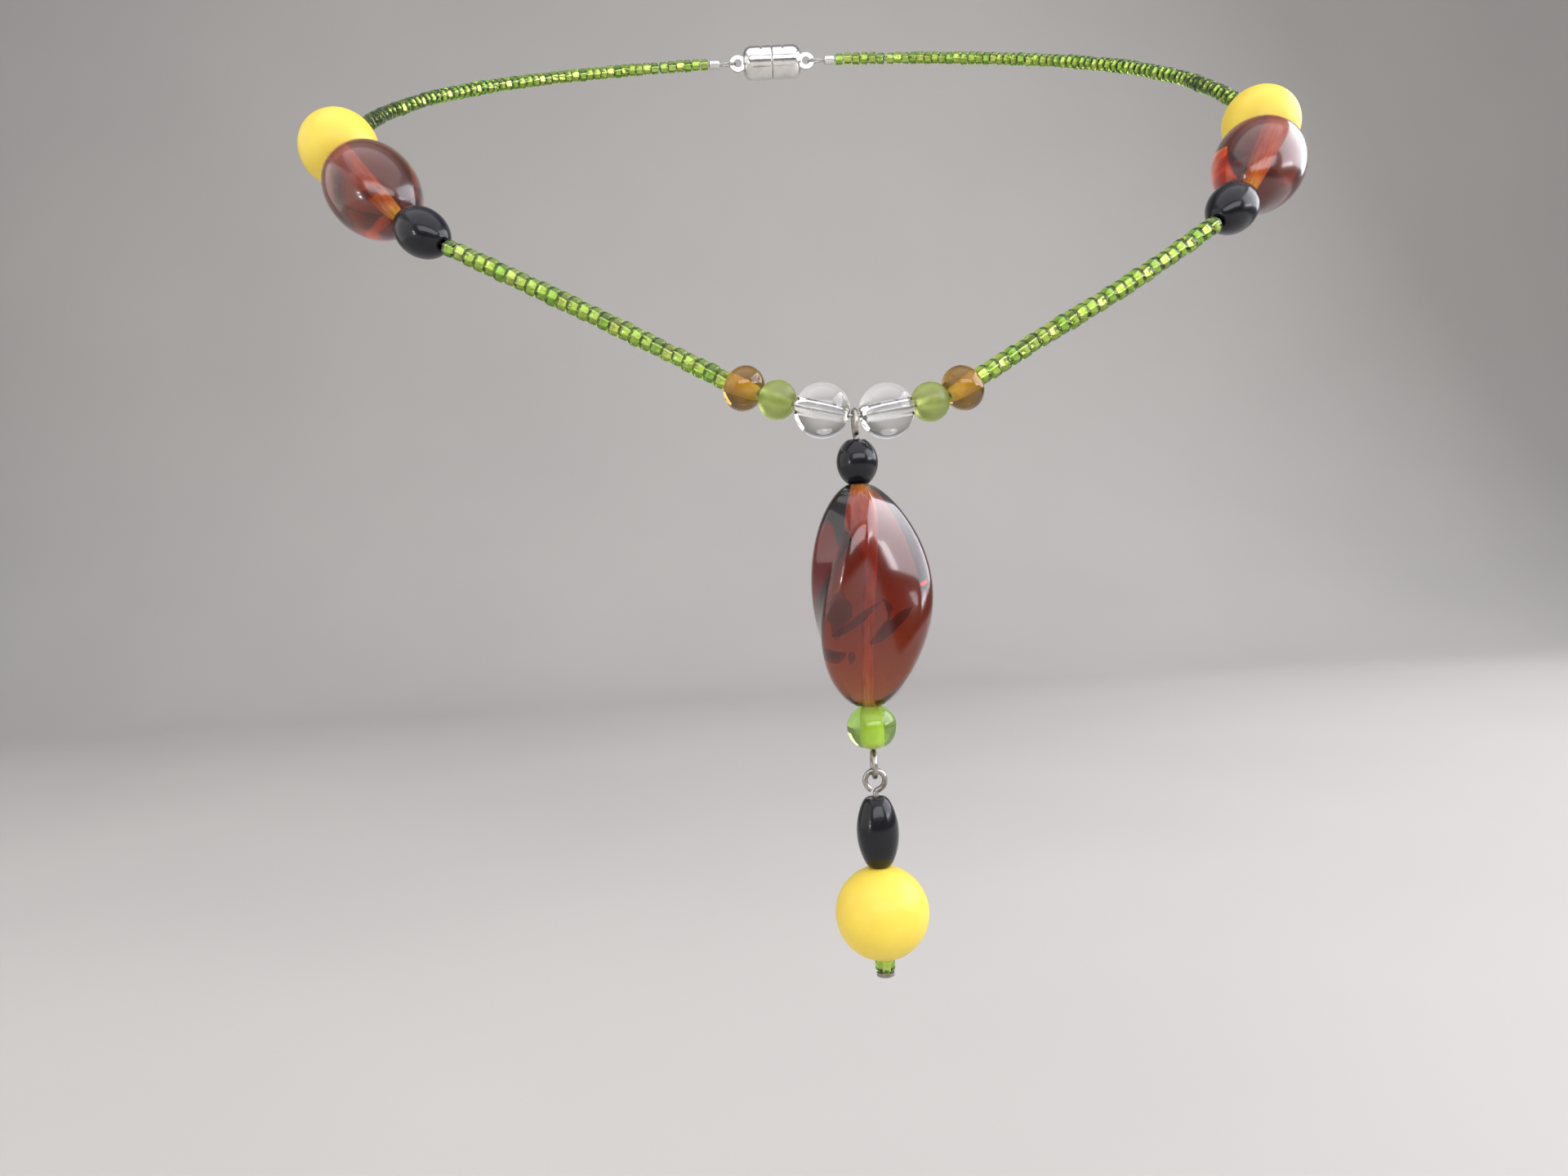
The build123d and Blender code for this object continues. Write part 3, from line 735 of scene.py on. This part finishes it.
def dress_seeds(node):
    """Glass seed beads and their silver linings, in place of one CAD group."""
    glass_shells, lining_shells = [], []
    for number, (centre, along, half, outer, hole) in enumerate(seed_places(node)):
        phase = SEED_PHASE * number + len(node)
        turn = phase * SEED_TURN
        matrix = axes_at(centre, along)
        size = 1 + SEED_SIZE * sin(SEED_SIZE_WAVE * phase)
        rings = seed_rings(half, outer * size, hole, turn)
        kind = SEED_KINDS[(number * SEED_KIND_STEP + len(node)) % len(SEED_KINDS)]
        glass_shells.append((moved(rings, matrix), [kind] * len(rings)))
        tube = square_tube(half, hole + 2 * LINING_DEPTH, hole - 2 * LINING_WALL, turn)
        lining_shells.append((moved(tube, matrix), [0] * len(tube)))
    beads = ring_mesh(f"{node}_glass", glass_shells, seed_glasses)
    linings = ring_mesh(f"{node}_lining", lining_shells, [seed_lining])
    for piece in (beads, linings):
        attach(piece, node_body[node])
    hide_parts(node)


for node in sorted(nodes):
    if "seed_bead" in node:
        dress_seeds(node)

# ---------------------------------------------------------------- metal


def finish_node(node, material):
    """A material on a CAD node that stays as it is."""
    for slot in nodes[node].material_slots:
        slot.material = material


for node in nodes:
    if "wire" in node:
        finish_node(node, cable)
    elif node in ("eyepin", "headpin"):
        finish_node(node, pin_metal)
    elif "cup" in node or "crimp" in node:
        finish_node(node, plate)
    elif "magnet" in node:
        finish_node(node, nickel)

# ---------------------------------------------------------------- stage, light and camera

FLOOR_DROP = 0.035
STAGE_REACH = 1.6
WALL_BACK = 0.75
SWEEP = 0.25
SWEEP_STEPS = 12

AIM = (0, -0.05, -0.05)
HIGH_AIM = (0, -0.02, -0.04)
# Light panels: name, place, aim, width, height, radiance and colour
LIGHTS = [
    ("window", (0.06, -0.60, 0.22), HIGH_AIM, 0.80, 0.20, 4.0, (0.96, 0.97, 1.0)),
    ("side_window", (0.54, -0.04, 0.21), AIM, 0.80, 0.40, 4.2, (0.93, 0.94, 1.0)),
    ("side_sill", (0.55, -0.26, 0.06), AIM, 0.24, 0.05, 6.0, (0.96, 0.96, 1.0)),
    ("side_fill", (-0.56, -0.12, 0.06), AIM, 0.80, 0.60, 0.9, (1.0, 0.97, 0.92)),
    ("ceiling", (0, -0.25, 0.60), HIGH_AIM, 1.2, 0.8, 1.1, (0.95, 0.95, 1.0)),
    ("spark_high", (-0.46, -0.46, 0.02), AIM, 0.015, 0.02, 110, (1, 1, 1)),
    ("spark_low", (-0.46, -0.46, -0.05), AIM, 0.015, 0.03, 140, (1, 1, 1)),
]

# Room light as height (0 level, 1 overhead) and colour
ROOM_TONES = [(0.0, (0.14, 0.14, 0.14)), (0.6, (0.42, 0.42, 0.47))]


def make_stage():
    """A pale floor that curves up into a wall behind."""
    floor = cad_box[0].z - FLOOR_DROP
    line = [(-STAGE_REACH, floor), (WALL_BACK - SWEEP, floor)]
    for i in range(1, SWEEP_STEPS + 1):
        angle = pi / 2 * i / SWEEP_STEPS
        line.append((WALL_BACK - SWEEP + SWEEP * sin(angle), floor + SWEEP - SWEEP * cos(angle)))
    line.append((WALL_BACK, floor + STAGE_REACH))
    verts = [(x, y, z) for y, z in line for x in (-STAGE_REACH, STAGE_REACH)]
    faces = [(2 * i, 2 * i + 1, 2 * i + 3, 2 * i + 2) for i in range(len(line) - 1)]
    mesh = bpy.data.meshes.new("stage")
    mesh.from_pydata(verts, [], faces)
    mesh.polygons.foreach_set("use_smooth", [True] * len(faces))
    mesh.materials.append(stage_paper)
    stage = bpy.data.objects.new("stage", mesh)
    bpy.context.scene.collection.objects.link(stage)


def add_light(name, place, aim, width, height, radiance, color):
    """A rectangular panel of a given radiance."""
    data = bpy.data.lights.new(name, "AREA")
    data.energy = radiance * pi * width * height
    data.color = color
    data.shape = "RECTANGLE"
    data.size = width
    data.size_y = height
    light = bpy.data.objects.new(name, data)
    light.visible_camera = False
    light.location = place
    light.rotation_euler = (Vector(aim) - Vector(place)).to_track_quat("-Z", "Y").to_euler()
    bpy.context.scene.collection.objects.link(light)


def make_world():
    """Soft room light, brighter from above."""
    world = bpy.data.worlds.new("studio")
    world.use_nodes = True
    tree = world.node_tree
    place = tree.nodes.new("ShaderNodeTexCoord")
    split = tree.nodes.new("ShaderNodeSeparateXYZ")
    tree.links.new(place.outputs["Generated"], split.inputs["Vector"])
    tone = ramp(tree, split.outputs["Z"], ROOM_TONES)
    tree.links.new(tone, tree.nodes["Background"].inputs["Color"])
    tree.nodes["Background"].inputs["Strength"].default_value = 1.0
    bpy.context.scene.world = world


HANG = Vector(joints["drop_swing"]["pos_m"])
CAMERA_FROM_HANG = Vector((-12.3, -120.9, -14.5)) * MM
CAMERA_YAW = radians(-1.8)
CAMERA_PITCH = radians(-1.5)
CAMERA_ROLL = radians(3.3)
CAMERA_LENS = 26.25  # on a sensor 36 wide
SENSOR_WIDTH = 36
NEAREST = 0.005
FURTHEST = 20


def make_camera():
    """A camera close in front of the drop."""
    data = bpy.data.cameras.new("camera")
    data.lens = CAMERA_LENS
    data.sensor_width = SENSOR_WIDTH
    data.clip_start = NEAREST
    data.clip_end = FURTHEST
    camera = bpy.data.objects.new("camera", data)
    turn = Matrix.Rotation(CAMERA_YAW, 4, "Z") @ Matrix.Rotation(CAMERA_PITCH, 4, "X")
    turn = turn @ Matrix.Rotation(CAMERA_ROLL, 4, "Y") @ Matrix.Rotation(radians(90), 4, "X")
    camera.matrix_world = Matrix.Translation(HANG + CAMERA_FROM_HANG) @ turn
    bpy.context.scene.collection.objects.link(camera)
    bpy.context.scene.camera = camera


bpy.context.scene.view_settings.view_transform = "Standard"
make_stage()
make_world()
for light in LIGHTS:
    add_light(*light)
make_camera()
